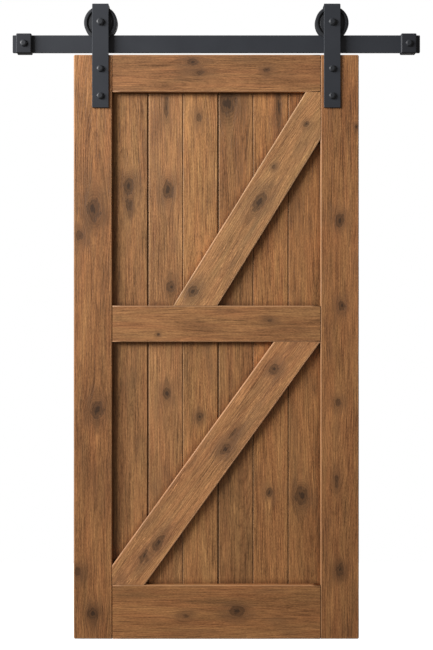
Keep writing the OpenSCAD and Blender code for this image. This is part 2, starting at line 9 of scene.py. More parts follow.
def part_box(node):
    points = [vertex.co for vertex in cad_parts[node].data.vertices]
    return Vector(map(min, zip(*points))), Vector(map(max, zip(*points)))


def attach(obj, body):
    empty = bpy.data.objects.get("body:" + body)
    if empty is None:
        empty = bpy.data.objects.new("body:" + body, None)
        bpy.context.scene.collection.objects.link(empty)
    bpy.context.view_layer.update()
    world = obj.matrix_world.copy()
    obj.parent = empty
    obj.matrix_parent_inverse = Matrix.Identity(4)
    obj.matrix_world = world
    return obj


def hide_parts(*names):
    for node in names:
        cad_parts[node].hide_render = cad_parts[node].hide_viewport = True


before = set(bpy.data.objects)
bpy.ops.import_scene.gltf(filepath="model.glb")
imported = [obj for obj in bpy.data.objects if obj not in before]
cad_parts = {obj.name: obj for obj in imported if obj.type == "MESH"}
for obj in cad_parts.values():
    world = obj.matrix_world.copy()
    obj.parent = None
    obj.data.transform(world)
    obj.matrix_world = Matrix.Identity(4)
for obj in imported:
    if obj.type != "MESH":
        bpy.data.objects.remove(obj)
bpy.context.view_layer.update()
scene = bpy.context.scene

# ---------------------------------------------------------------- studio
# A big softbox high on the left rakes the boards. It is aimed above the door, so that its light
# falls off down the leaf, and a weak one lights the back. The room and the floor, just under the
# door, are dimmer than the camera sees them, so that the shadows stay deep.
leaf_low, leaf_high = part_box("left_stile")
face_y = leaf_low.y
view_distance, view_height = 3.8, 2.3686
eye_aside, eye_height = 0.0007, 1.1445

camera = bpy.data.objects.new("camera", bpy.data.cameras.new("camera"))
camera.data.angle = 2 * atan(view_height / 2 / view_distance)
camera.location = (eye_aside, face_y - view_distance, leaf_low.z + eye_height)
camera.rotation_euler = (pi / 2, 0, 0)
scene.collection.objects.link(camera)
scene.camera = camera
scene.view_settings.view_transform = "Standard"


def softbox(name, stand, aim, size, power, tint):
    lamp = bpy.data.lights.new(name, "AREA")
    lamp.shape, lamp.size, lamp.energy, lamp.color = "SQUARE", size, power, tint
    holder = bpy.data.objects.new(name, lamp)
    holder.location = stand
    holder.rotation_euler = (Vector(aim) - Vector(stand)).to_track_quat("-Z", "Y").to_euler()
    holder.visible_camera = False
    scene.collection.objects.link(holder)


softbox("key_softbox", (-5.6, -2.9, 2.2), (0, face_y, 5.5), 4.0, 1270, (1, 0.99, 0.98))
softbox("back_softbox", (3.2, 4.6, 1.6), (0, face_y, -0.9), 5.0, 260, (1, 0.97, 0.94))


def add_node(tree, kind, inputs=(), **settings):
    """Adds a node, sets what it is, and joins or sets its inputs by name or number."""
    node = tree.nodes.new(kind if "Node" in kind else "ShaderNode" + kind)
    for key, value in settings.items():
        setattr(node, key, value)
    for key, value in dict(inputs).items():
        if isinstance(value, bpy.types.NodeSocket):
            tree.links.new(value, node.inputs[key])
        else:
            node.inputs[key].default_value = value
    return node


def shown_otherwise(tree, end, lighting, shown):
    """Ends a tree with one shader for the light in the room and another for what the camera sees."""
    seen = add_node(tree, "LightPath").outputs["Is Camera Ray"]
    both = add_node(tree, "MixShader", {0: seen, 1: lighting, 2: shown}).outputs[0]
    add_node(tree, end, {"Surface": both})


world = bpy.data.worlds.new("white_room")
world.use_nodes = True
room = world.node_tree
room.nodes.clear()
dim = add_node(room, "Background", {"Color": (1, 0.93, 0.86, 1), "Strength": 0.2}).outputs[0]
white = add_node(room, "Background", {"Color": (1, 1, 1, 1), "Strength": 1.0}).outputs[0]
shown_otherwise(room, "OutputWorld", dim, white)
scene.world = world

floor_gap, floor_side, floor_near, floor_far = 0.012, 4, -5, 1.2
floor_z = leaf_low.z - floor_gap
floor_mesh = bpy.data.meshes.new("floor")
floor_mesh.from_pydata([(-floor_side, floor_near, floor_z), (floor_side, floor_near, floor_z),
                        (floor_side, floor_far, floor_z), (-floor_side, floor_far, floor_z)], [], [(0, 1, 2, 3)])
floor = bpy.data.objects.new("floor", floor_mesh)
scene.collection.objects.link(floor)
pale = bpy.data.materials.new("pale_floor")
pale.use_nodes = True
pale_tree = pale.node_tree
pale_tree.nodes.clear()
paint = add_node(pale_tree, "BsdfDiffuse", {"Color": (0.30, 0.28, 0.25, 1)}).outputs[0]
glow = add_node(pale_tree, "Emission", {"Strength": 0.97}).outputs[0]
lit = add_node(pale_tree, "AddShader", {0: paint, 1: glow}).outputs[0]
shown_otherwise(pale_tree, "OutputMaterial", paint, lit)
floor_mesh.materials.append(pale)

# ---------------------------------------------------------------- track
# A flat bar of mild steel, 8 mm thick, that hangs level from its two ends. It is sawn to length,
# its corners are rounded and its arrises eased, and it is powder-coated matt black.


def srgb(red, green, blue):
    """A colour given on the 0 to 255 scale, as a shader wants it."""
    return tuple((c / 255 / 12.92 if c <= 10 else ((c / 255 + 0.055) / 1.055) ** 2.4) for c in (red, green, blue))


def shade(colour, *shares):
    """A lighter or darker colour, by one share for all of it or by one each for red, green and blue."""
    return tuple(c * share for c, share in zip(colour, shares if len(shares) == 3 else shares * 3)) + (1,)


def maths(tree, operation, first, second=0.0, third=0.0, clamp=False):
    return add_node(tree, "Math", {0: first, 1: second, 2: third}, operation=operation, use_clamp=clamp).outputs[0]


def ramp(tree, value, stops):
    """A colour ramp through (place, colour) stops; a number is a shade of grey, and places may pass 1."""
    reach = max(1, max(spot for spot, colour in stops))
    node = add_node(tree, "ValToRGB", {0: maths(tree, "DIVIDE", value, reach)})
    cells = node.color_ramp.elements
    while len(cells) < len(stops):
        cells.new(0.5)
    for cell, (spot, colour) in zip(cells, stops):
        cell.position = spot / reach
        cell.color = colour if hasattr(colour, "__len__") else (colour, colour, colour, 1)
    return node.outputs[0]


def mixed(tree, share, first, second, blend="MIX"):
    return add_node(tree, "Mix", {0: share, 6: first, 7: second}, data_type="RGBA", blend_type=blend).outputs[2]


def grains(tree, where, scale, detail=2.0, seed=0.0, roughness=0.5):
    """Cloudy noise from 0 to 1, with this many clouds to a metre."""
    return add_node(tree, "TexNoise", {"Vector": where, "W": seed, "Scale": scale, "Detail": detail,
                                       "Roughness": roughness}, noise_dimensions="4D").outputs[0]


def new_finish(name):
    finish = bpy.data.materials.new(name)
    finish.use_nodes = True
    tree = finish.node_tree
    shader = tree.nodes["Principled BSDF"]
    where = add_node(tree, "TexCoord").outputs["Object"]
    return finish, tree, shader, where


def bumped(tree, shader, height, distance, strength):
    bump = add_node(tree, "Bump", {"Height": height, "Strength": strength, "Distance": distance})
    tree.links.new(bump.outputs[0], shader.inputs["Normal"])


def coated_finish(name, coat, worn, seed, gloss):
    """Powder coat: fine orange peel, faint clouds, and arrises where the coat is thin and rubbed."""
    finish, tree, shader, where = new_finish(name)
    clouds = grains(tree, where, 9, 3, seed)
    specks = grains(tree, where, 420, 1, seed + 3)
    tone = mixed(tree, clouds, shade(coat, 0.86), shade(coat, 1.14))
    tone = mixed(tree, ramp(tree, specks, [(0.62, 0.0), (0.75, 0.35)]), tone, shade(coat, 1.5))
    arris = add_node(tree, "Attribute", attribute_name="arris").outputs["Fac"]
    patchy = ramp(tree, grains(tree, where, 60, 3, seed + 5), [(0.3, 0.25), (0.7, 1.0)])
    rubbed = maths(tree, "MULTIPLY", arris, patchy)
    tree.links.new(mixed(tree, rubbed, tone, (*worn, 1)), shader.inputs["Base Color"])
    tree.links.new(maths(tree, "MULTIPLY_ADD", clouds, 0.12, 0.44), shader.inputs["Roughness"])
    shader.inputs["Specular IOR Level"].default_value = gloss
    bumped(tree, shader, grains(tree, where, 650, 2, seed + 9), 0.00012, 0.8)
    return finish


black_coat = coated_finish("black_powder_coat", srgb(50, 53, 59), srgb(76, 80, 86), 1, 0.28)


def settled(blank, name):
    """The mesh that an object's modifiers give, as a plain mesh of this name. The object itself goes."""
    mesh = bpy.data.meshes.new_from_object(blank.evaluated_get(bpy.context.evaluated_depsgraph_get()))
    mesh.name = name
    bpy.data.objects.remove(blank)
    return mesh


def finished_mesh(mesh, name, *modifiers):
    """Runs modifiers, each (kind, settings), on a mesh and returns the result as a plain mesh."""
    blank = bpy.data.objects.new(name, mesh)
    scene.collection.objects.link(blank)
    for kind, settings in modifiers:
        modifier = blank.modifiers.new(kind.lower(), kind)
        for key, value in settings.items():
            setattr(modifier, key, value)
    return settled(blank, name)


def flat_faces_first(keep_sharp=False):
    """The modifier that lets the large faces set the normals, so that a rounded arris blends into them."""
    return "WEIGHTED_NORMAL", dict(weight=80, keep_sharp=keep_sharp)


def mark_slots(mesh):
    """Gives a mesh two slots, so that a bevel can mark its own faces with the second."""
    mesh.materials.clear()
    mesh.materials.append(black_coat)
    mesh.materials.append(black_coat)


def smooth_mesh(form, mesh):
    """Writes a worked form to a mesh, with every face smooth."""
    for face in form.faces:
        face.smooth = True
    form.to_mesh(mesh)
    form.free()
    return mesh


def marked_arrises(mesh):
    """Moves the mark that the bevel left on its faces, a second material, to a colour attribute."""
    mark = mesh.attributes.new("arris", "FLOAT", "CORNER")
    for face in mesh.polygons:
        for corner in face.loop_indices:
            mark.data[corner].value = 1.0 if face.material_index else 0.0
        face.material_index = 0
    mesh.materials.clear()


weld, flat_angle = 2e-6, 0.6


def eased(node, ease, angle=28):
    """A CAD piece with its facets joined and its arrises rounded, as one clean mesh."""
    form = bmesh.new()
    form.from_mesh(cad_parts[node].data)
    bmesh.ops.remove_doubles(form, verts=form.verts, dist=weld)
    bmesh.ops.dissolve_limit(form, angle_limit=radians(flat_angle), verts=form.verts, edges=form.edges)
    for face in form.faces:
        face.material_index = 0
    for edge in form.edges:
        edge.smooth = True
    mesh = smooth_mesh(form, bpy.data.meshes.new(node + "_form"))
    for stale in ("custom_normal", "sharp_edge", "sharp_face"):
        if stale in mesh.attributes:
            mesh.attributes.remove(mesh.attributes[stale])
    mark_slots(mesh)
    result = finished_mesh(
        mesh, node + "_eased",
        ("BEVEL", dict(width=ease, segments=2, limit_method="ANGLE", angle_limit=radians(angle), material=1,
                       miter_outer="MITER_ARC")),
        flat_faces_first())
    marked_arrises(result)
    return result


def place(mesh, name, body, slot, finish, *nodes):
    """Makes the piece that stands for these CAD nodes and rides on their body."""
    piece = bpy.data.objects.new(name, mesh)
    scene.collection.objects.link(piece)
    mesh.materials.clear()
    mesh.materials.append(finish)
    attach(piece, body)
    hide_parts(*nodes)


place(eased("track", 0.0009), "track_bar", "track_assembly", "black_powder_coat", black_coat, "track")

# ---------------------------------------------------------------- end stops, spacers and wall bolts
# A stop is a steel collar cut with a window that the track passes through, in a duller black coat.
# One coach screw with a forged hexagon head goes through stop, track and spacer into the wall, so
# the track stands off the wall by the length of the spacer.
black_bolt = coated_finish("blacked_bolt", srgb(41, 44, 49), srgb(60, 63, 68), 21, 0.42)
stop_coat = coated_finish("stop_coat", srgb(46, 48, 53), srgb(54, 57, 62), 27, 0.2)

for side in ("left", "right"):
    for node, name, ease, angle, slot, finish in (
            ("end_stop", "stop", 0.0006, 28, "black_powder_coat", stop_coat),
            ("wall_spacer", "spacer", 0.0005, 28, "black_powder_coat", black_coat),
            ("wall_bolt", "coach_screw", 0.0005, 20, "black_bolt", black_bolt)):
        place(eased(f"{side}_{node}", ease, angle), f"{side}_{name}", "track_assembly", slot, finish,
              f"{side}_{node}")

# ---------------------------------------------------------------- planks of the leaf
# Eight pine boards, 20 mm thick, tongued and grooved, close the back of the leaf. Each shows its own
# figure: growth rings cut lengthways, fine fibres, a few knots that the grain flows round, and a
# brown stain that took a little differently on every board.


def new_tree(kind, name, inputs, outputs):
    """An empty node tree and its two ends. Its sockets are given as names under the kind they are."""
    tree = bpy.data.node_groups.new(name, kind)
    for way, sockets in (("INPUT", inputs), ("OUTPUT", outputs)):
        for what, names in sockets.items():
            for socket in names:
                tree.interface.new_socket(socket, in_out=way, socket_type="NodeSocket" + what)
    return tree, tree.nodes.new("NodeGroupInput").outputs, tree.nodes.new("NodeGroupOutput").inputs


def distance(tree, first, second):
    """How far a place is from a point, from its offsets in two directions at right angles."""
    squares = [maths(tree, "POWER", maths(tree, "ABSOLUTE", side), 2) for side in (first, second)]
    return maths(tree, "SQRT", maths(tree, "ADD", *squares))


def knot_group():
    """Bends the lines of the grain round one knot, and measures how far a place is from it."""
    group, given, result = new_tree(
        "ShaderNodeTree", "knot",
        {"Float": ("Across", "Along", "Nearest", "Knot across", "Knot along", "Radius", "Length", "Strength")},
        {"Float": ("Across", "Nearest")})
    calc = partial(maths, group)
    bend_length, bend_width = 1.9, 1.2
    across = calc("SUBTRACT", given["Across"], given["Knot across"])
    along = calc("SUBTRACT", given["Along"], given["Knot along"])
    long_radius = calc("MULTIPLY", given["Radius"], given["Length"])
    far = calc("POWER", calc("DIVIDE", along, calc("MULTIPLY", long_radius, bend_length)), 2)
    swell = calc("MULTIPLY", calc("POWER", given["Radius"], 2), calc("EXPONENT", calc("MULTIPLY", far, -1)))
    left = calc("SUBTRACT", calc("POWER", calc("ABSOLUTE", across), 2), calc("MULTIPLY", swell, bend_width))
    bent = calc("MULTIPLY", calc("SQRT", calc("MAXIMUM", left, 0)), calc("SIGN", across))
    group.links.new(calc("ADD", bent, given["Knot across"]), result["Across"])
    away = distance(group, calc("DIVIDE", across, given["Radius"]), calc("DIVIDE", along, long_radius))
    away = calc("ADD", away, calc("SUBTRACT", 1, given["Strength"]))
    group.links.new(calc("MINIMUM", away, given["Nearest"]), result["Nearest"])
    return group


def figure_group():
    """The figure of a sawn board: rings round a pith that wanders behind its face, fibres and streaks."""
    group, given, result = new_tree(
        "ShaderNodeTree", "sawn_figure",
        {"Float": ("Across", "Straight", "Depth", "Along", "Seed", "Pith across", "Pith depth", "Tilt",
                   "Ring width", "Bold", "Flecked")},
        {"Float": ("Figure", "Relief")})
    calc = partial(maths, group)

    def cloud(across, along, into, shift, detail, roughness=0.5, side="Across"):
        """Noise with this many clouds to a metre across the grain, along it and into the board."""
        where = add_node(group, "CombineXYZ", {
            0: calc("MULTIPLY", given[side], across), 1: calc("MULTIPLY", given["Depth"], into),
            2: calc("MULTIPLY", given["Along"], along)}).outputs[0]
        return grains(group, where, 1, detail, calc("ADD", given["Seed"], shift), roughness)

    def swing(noise_value, width):
        """Turns noise from 0 to 1 into a sway to both sides, this wide in all."""
        return calc("MULTIPLY", calc("SUBTRACT", noise_value, 0.5), width)

    wander = calc("SUBTRACT", cloud(1.5, 1.1, 0, 3, 1), 0.5)
    depth = calc("ADD", given["Pith depth"], calc("MULTIPLY", given["Tilt"], given["Along"]))
    depth = calc("ADD", calc("MULTIPLY_ADD", wander, 0.11, depth), given["Depth"])
    sway = swing(cloud(0, 1.6, 0, 11, 1), 0.06)
    ripple = swing(cloud(30, 7, 10, 5, 2), 0.007)
    sideways = calc("ADD", calc("SUBTRACT", given["Across"], given["Pith across"]), calc("ADD", sway, ripple))
    years = calc("DIVIDE", distance(group, sideways, depth), given["Ring width"])
    changes_a_year, years_off = 0.37, 2.2
    uneven = add_node(group, "TexNoise", {
        "W": calc("MULTIPLY", years, changes_a_year), "Scale": 1.0, "Detail": 1.0}, noise_dimensions="1D").outputs[0]
    ring = calc("FRACT", calc("MULTIPLY_ADD", uneven, years_off, years))
    late = ramp(group, ring, [(0.0, 0.8), (0.12, 0.3), (0.5, 0.1), (0.84, 0.7), (0.95, 1.0)])
    fibres = cloud(480, 110, 450, 17, 2, 0.65, "Straight")
    strands = cloud(240, 20, 230, 23, 3, 0.65, "Straight")
    flecks = ramp(group, cloud(290, 38, 260, 59, 2, 0.6, "Straight"), [(0.60, 0.0), (0.68, 1.0)])
    clusters = ramp(group, cloud(16, 5, 15, 67, 2), [(0.44, 0.25), (0.62, 1.0)])
    threads = cloud(230, 8, 210, 37, 3, 0.65)
    pale_lines = ramp(group, cloud(215, 7, 200, 41, 2, 0.6), [(0.56, 0.0), (0.67, 1.0)])
    dark_lines = ramp(group, cloud(190, 6, 180, 47, 2, 0.6), [(0.34, 1.0), (0.45, 0.0)])
    streaks = cloud(55, 3, 50, 29, 3)
    stain = cloud(9, 1.8, 8, 31, 3, 0.6)
    total = calc("MULTIPLY_ADD", late, -0.16, 0.51)
    for part, share in ((fibres, 1.3), (strands, 0.85), (threads, 1.15), (streaks, 0.55), (stain, 0.9)):
        total = calc("MULTIPLY_ADD", calc("SUBTRACT", part, 0.5), share, total)
    total = calc("MULTIPLY_ADD", pale_lines, 0.33, total)
    total = calc("MULTIPLY_ADD", dark_lines, -0.25, total)
    total = calc("MULTIPLY_ADD", calc("SUBTRACT", total, 0.5), given["Bold"], 0.5)
    total = calc("MULTIPLY_ADD", calc("MULTIPLY", flecks, clusters), given["Flecked"], total, clamp=True)
    group.links.new(total, result["Figure"])
    relief = calc("MULTIPLY_ADD", late, 0.55, calc("MULTIPLY", fibres, 0.6))
    group.links.new(calc("MULTIPLY_ADD", dark_lines, -0.5, relief), result["Relief"])
    return group


knot_nodes = knot_group()
figure_nodes = figure_group()
no_knot_near = 9.0
knot_spread = 1.08


def stained_wood(name, stain, seed, centre, turn=0.0, knots=(), pith=0.02, depth=0.05, tilt=0.03, ring=0.0055,
                 painted_shade=None, bold=1.0, flecked=0.35, rubbed=0.5):
    """One board's finish. Centre and turn put it on the board, whose grain runs along its own Z.
    Each knot is (across, along, radius, length over width, strength)."""
    finish, tree, shader, where = new_finish(name)
    own = add_node(tree, "Mapping", {"Vector": where, "Location": centre, "Rotation": (0, turn, 0)},
                   vector_type="TEXTURE").outputs[0]
    straight, inwards, along = add_node(tree, "SeparateXYZ", {0: own}).outputs

    def cloud(scale, detail, shift, roughness=0.5):
        """Noise on the board, with this many clouds to a metre across, into and along it."""
        stretched = add_node(tree, "Mapping", {"Vector": own, "Scale": scale}).outputs[0]
        return grains(tree, stretched, 1, detail, seed + shift, roughness)

    def ragged_edge(cloudy, width):
        """The distance to the nearest knot, made uneven by noise this wide."""
        return maths(tree, "MULTIPLY_ADD", maths(tree, "SUBTRACT", cloudy, 0.5), width, near)

    across, near = straight, no_knot_near
    for x, z, radius, length, strength in knots:
        bent = add_node(tree, "Group", {
            "Across": across, "Along": along, "Nearest": near, "Knot across": x, "Knot along": z,
            "Radius": radius * knot_spread, "Length": length, "Strength": strength}, node_tree=knot_nodes).outputs
        across, near = bent["Across"], bent["Nearest"]
    figure = add_node(tree, "Group", {
        "Across": across, "Straight": straight, "Depth": inwards, "Along": along, "Seed": seed,
        "Pith across": pith, "Pith depth": depth, "Tilt": tilt, "Ring width": ring, "Bold": bold,
        "Flecked": flecked}, node_tree=figure_nodes).outputs
    dark, smoky = shade(stain, 0.44, 0.42, 0.41), shade(stain, 0.46, 0.52, 0.62)
    tone = mixed(tree, figure["Figure"], dark, shade(stain, 1.70, 1.80, 1.84))
    warmth = ramp(tree, cloud((38, 8, 4), 3, 83), [(0.36, (1.0, 0.93, 0.88, 1)), (0.64, (1.0, 1.04, 0.98, 1))])
    tone = mixed(tree, 1.0, tone, warmth, "MULTIPLY")
    tone = mixed(tree, ramp(tree, cloud((16, 8, 5), 3, 61), [(0.52, 0.0), (0.75, 0.55)]), tone, smoky)
    relief = figure["Relief"]
    if knots:
        ragged = ragged_edge(cloud((95, 40, 30), 5, 0, 0.7), 2.3)
        smudge = ragged_edge(cloud((60, 12, 13), 5, 19, 0.7), 7.0)
        heart = ramp(tree, ragged, [(0.0, shade(stain, 0.17, 0.19, 0.24)), (0.3, shade(stain, 0.13, 0.15, 0.19)),
                                    (0.6, shade(stain, 0.46, 0.48, 0.50)), (0.9, shade(stain, 0.22, 0.24, 0.27))])
        tone = mixed(tree, ramp(tree, smudge, [(0.4, 0.7), (1.6, 0.4), (3.4, 0.0)]), tone, smoky)
        turns = maths(tree, "MULTIPLY", maths(tree, "MULTIPLY_ADD", ragged, 0.35, near), 2.6)
        rings = ramp(tree, maths(tree, "FRACT", turns), [(0.0, 0.3), (0.4, 0.0), (0.8, 1.0), (1.0, 0.3)])
        rings = maths(tree, "MULTIPLY", rings, ramp(tree, near, [(0.9, 0.8), (1.5, 0.5), (2.7, 0.0)]))
        tone = mixed(tree, rings, tone, dark)
        tone = mixed(tree, ramp(tree, ragged, [(0.6, 0.92), (0.95, 0.65), (1.15, 0.0)]), tone, heart)
        relief = maths(tree, "MULTIPLY_ADD", ramp(tree, ragged, [(0.8, 0.0), (1.1, 1.0)]), 0.6, relief)
    # Painted shade: the planks are darkened toward the edges of the frame and inside their joints, where shade falls.
    if painted_shade:
        shade_share = add_node(tree, "Group", {"Place": where}, node_tree=painted_shade).outputs["Share"]
        shaded_tone = mixed(tree, 1.0, tone, (0.42, 0.38, 0.34, 1), "MULTIPLY")
        tone = mixed(tree, maths(tree, "MULTIPLY", shade_share, 0.8), tone, shaded_tone)
    # The arrises are mixed toward a pale tone: partly real wear, partly a painted highlight of the light on their
    # rounding.
    arris = add_node(tree, "Attribute", attribute_name="arris").outputs["Fac"]
    tone = mixed(tree, maths(tree, "MULTIPLY", arris, rubbed), tone, shade(stain, 1.55, 1.95, 2.6))
    tree.links.new(tone, shader.inputs["Base Color"])
    tree.links.new(maths(tree, "MULTIPLY_ADD", figure["Figure"], 0.16, 0.5), shader.inputs["Roughness"])
    shader.inputs["Specular IOR Level"].default_value = 0.35
    bumped(tree, shader, relief, 0.0006, 0.8)
    return finish


def steps_between(low, high, step):
    """Evenly spaced values from low to high, about a step apart."""
    count = max(1, round((high - low) / step))
    return [low + (high - low) * k / count for k in range(count + 1)]


plank_front, plank_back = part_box("plank_1")[0].y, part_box("plank_1")[1].y
tongue_long, tongue_half = 0.010, 0.003
groove_half, groove_slack = 0.0032, 0.0005
plank_ease, end_round = 0.0018, 0.006
first_row, rows_apart = 0.03, 0.04
wave_depth, wave_rise, waves = 0.0005, 0.15, 9


def plank_mesh(name, left, right, first, last, seed, joint):
    """A tongued and grooved plank: its section carried up the leaf, with edges planed a little unevenly."""
    front, back, ease = plank_front, plank_back, plank_ease
    middle = (front + back) / 2
    section = []
    for x, out in ((left + joint, -1), (right, 1)):
        rounding = [(x - out * ease * (1 - sin(turn)), front + ease * (1 - cos(turn)), out, True)
                    for turn in (0, pi / 6, pi / 3, pi / 2)]
        section.extend(rounding if out > 0 else reversed(rounding))
    if not last:
        section.extend([(x, middle + y, 1, False) for x, y in (
            (right, -tongue_half), (right + tongue_long, -tongue_half),
            (right + tongue_long, tongue_half), (right, tongue_half))])
    section.extend([(right, back - ease, 1, True), (right - ease, back, 1, True),
                    (left + ease, back, -1, True), (left, back - ease, -1, True)])
    if not first:
        bottom = left + tongue_long + groove_slack
        section.extend([(x, middle + y, -1, False) for x, y in (
            (left, groove_half), (bottom, groove_half), (bottom, -groove_half), (left + joint, -groove_half))])
    ends = (0, 0.001, 0.0025, end_round)
    rows = [leaf_low.z + end for end in ends] + steps_between(
        leaf_low.z + first_row, leaf_high.z - first_row, rows_apart)
    rows += [leaf_high.z - end for end in reversed(ends)]
    form = bmesh.new()
    arris = form.verts.layers.float.new("arris")
    rings = []
    for z in rows:
        end = min(z - leaf_low.z, leaf_high.z - z)
        cut = end_round - sqrt(max(0, end_round ** 2 - (end_round - end) ** 2)) if end < end_round else 0
        ring = []
        for x, y, out, edge in section:
            if edge:
                x -= out * wave_depth * max(0, noise.noise((seed * 7.3 + out, z * waves, 0.4)) + wave_rise)
            if first and x < left + cut:
                x = left + cut
            if last and x > right - cut:
                x = right - cut
            vert = form.verts.new((x, y, z))
            vert[arris] = 1.0 if edge and front < y < front + ease * 0.99 else 0.0
            ring.append(vert)
        rings.append(ring)
    count = len(section)
    for low, high in zip(rings, rings[1:]):
        for k in range(count):
            form.faces.new((low[k], low[(k + 1) % count], high[(k + 1) % count], high[k]))
    form.faces.new(list(reversed(rings[0])))
    form.faces.new(rings[-1])
    bmesh.ops.recalc_face_normals(form, faces=form.faces)
    mesh = smooth_mesh(form, bpy.data.meshes.new(name))
    mesh.set_sharp_from_angle(angle=radians(50))
    return finished_mesh(mesh, name, flat_faces_first(keep_sharp=True))


inner_left, inner_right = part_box("left_stile")[1].x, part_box("right_stile")[0].x
full, butt = 1.0, 0.07


def brace_outline(below, above, foot, head, width):
    """A leaning board cut to the opening: its two long edges clipped by the rails and the stiles.
    Each corner is (x, z, share), the share of the full rounding that its edge to the next corner gets."""
    z0, z1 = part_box(below)[1].z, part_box(above)[0].z
    slope = (2 * inner_right - foot - head) / (z1 - z0)
    lean = atan(slope)
    level = width / cos(lean)
    left0 = inner_left + foot

    def x_at(z, right_edge):
        return left0 + (z - z0) * slope + (level if right_edge else 0)

    corners = [(max(x_at(z0, False), inner_left), z0, butt), (min(x_at(z0, True), inner_right), z0, full)]
    if x_at(z1, True) > inner_right:
        corners.append((inner_right, z0 + (inner_right - left0 - level) / slope, butt))
        corners.append((inner_right, z1, butt))
    else:
        corners.append((x_at(z1, True), z1, butt))
    corners.append((x_at(z1, False), z1, full))
    if x_at(z0, False) < inner_left:
        corners.append((inner_left, z0 + (inner_left - left0) / slope, butt))
    middle_z = (z0 + z1) / 2
    return corners, lean, (x_at(middle_z, False) + level / 2, face_y, middle_z)


brace_width = 0.137
upper_brace = brace_outline("middle_rail", "top_rail", 0.223, 0.054, brace_width)
lower_brace = brace_outline("bottom_rail", "middle_rail", -0.051, 0.170, brace_width)


def painted_shade_group():
    """Painted shade: says how near a place on the planks is to an edge of the frame, where shade falls, and marks the
    insides of the plank joints for painted shade too.
    """
    group, given, result = new_tree("ShaderNodeTree", "painted_edge_shade", {"Vector": ("Place",)}, {"Float": ("Share",)})
    calc = partial(maths, group)
    x, y, z = add_node(group, "SeparateXYZ", {0: given[0]}).outputs
    rail_low, rail_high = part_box("middle_rail")
    rail_z = (rail_low.z + rail_high.z) / 2
    off_rail = calc("ABSOLUTE", calc("SUBTRACT", z, rail_z))
    gaps = [calc("SUBTRACT", x, inner_left), calc("SUBTRACT", inner_right, x),
            calc("SUBTRACT", z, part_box("bottom_rail")[1].z), calc("SUBTRACT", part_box("top_rail")[0].z, z),
            calc("SUBTRACT", off_rail, (rail_high.z - rail_low.z) / 2)]
    for brace, side in ((upper_brace, -1), (lower_brace, 1)):
        lean, middle = brace[1:]
        off = calc("SUBTRACT", calc("MULTIPLY", calc("SUBTRACT", x, middle[0]), cos(lean)),
                   calc("MULTIPLY", calc("SUBTRACT", z, middle[2]), sin(lean)))
        off = calc("SUBTRACT", calc("ABSOLUTE", off), brace_width / 2)
        gaps.append(calc("MAXIMUM", off, calc("MULTIPLY", calc("SUBTRACT", z, rail_z), side)))
    nearest = gaps[0]
    for gap in gaps[1:]:
        nearest = calc("MINIMUM", nearest, gap)
    # Painted shade is strongest at a frame edge and fades out about 2 cm from it, along an uneven border.
    uneven, to_ramp = 0.012, 30
    wavy = calc("MULTIPLY_ADD", calc("SUBTRACT", grains(group, given[0], 60, 2), 0.5), uneven, nearest)
    painted_shade = ramp(group, calc("MULTIPLY", wavy, to_ramp), [(0.0, 1.0), (0.2, 0.6), (0.62, 0.0)])
    # Painted shade also darkens the walls and floor of each plank joint, behind the face.
    face_depth, joint_depth, joint_half, joint_dark = 0.003, 0.007, 0.0045, 1.25
    face_shade = calc("MULTIPLY", painted_shade, calc("LESS_THAN", y, plank_front + face_depth))
    joint_shade = calc("MULTIPLY", calc("COMPARE", y, plank_front + joint_depth, joint_half), joint_dark)
    group.links.new(calc("MAXIMUM", face_shade, joint_shade), result[0])
    return group


painted_shade_nodes = painted_shade_group()
leaf_middle = (leaf_low.z + leaf_high.z) / 2
# Planks 3 and 5 have paler arrises, a stronger painted highlight along the edges of their open joints.
planks = {
    1: dict(stain=srgb(158, 110, 69), pith=0.01),
    2: dict(stain=srgb(154, 108, 69), pith=-0.03, depth=0.035, tilt=0.05,
            knots=[(-0.005, 0.589, 0.017, 1.5, 1.0), (-0.001, 0.519, 0.008, 2.6, 0.8)]),
    3: dict(stain=srgb(163, 115, 75), rubbed=0.95, pith=0.012, depth=0.03, tilt=-0.03,
            knots=[(0.004, 0.878, 0.008, 4.5, 0.9), (0.010, 0.575, 0.016, 1.7, 1.0),
                   (0.020, 0.219, 0.013, 1.5, 0.95), (0.005, -0.172, 0.012, 1.6, 1.0)]),
    4: dict(stain=srgb(167, 118, 75), pith=-0.01, depth=0.04, tilt=0.035,
            knots=[(-0.004, 0.838, 0.011, 1.8, 0.6), (-0.002, -0.256, 0.010, 1.4, 1.0)]),
    5: dict(stain=srgb(148, 103, 65), rubbed=0.95, pith=0.02, depth=0.05, tilt=-0.04,
            knots=[(-0.030, 0.887, 0.027, 1.4, 1.0)]),
    6: dict(stain=srgb(166, 114, 71), pith=-0.035, depth=0.045, tilt=0.03,
            knots=[(0.030, 0.867, 0.009, 6.5, 1.0), (-0.004, -0.535, 0.010, 1.5, 1.0)]),
    7: dict(stain=srgb(156, 107, 66), pith=0.03, depth=0.03, tilt=-0.05,
            knots=[(-0.014, -0.546, 0.020, 1.4, 1.0)]),
    8: dict(stain=srgb(156, 108, 67), pith=-0.01),
}
open_joints = {3: 0.0023, 4: 0.0006, 5: 0.0021, 6: 0.0012, 7: 0.0012, 8: 0.0008}
last = max(planks)
for number, wood in planks.items():
    node = f"plank_{number}"
    low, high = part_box(node)
    right = high.x - (tongue_long if number < last else 0)
    finish = stained_wood(f"stained_pine_{number}", seed=3.7 * number, painted_shade=painted_shade_nodes,
                          centre=((low.x + right) / 2, plank_front, leaf_middle), **wood)
    name = f"tongued_plank_{number}"
    place(plank_mesh(name, low.x, right, number == 1, number == last, number, open_joints.get(number, 0)),
          name, "door", "stained_planks", finish, node)

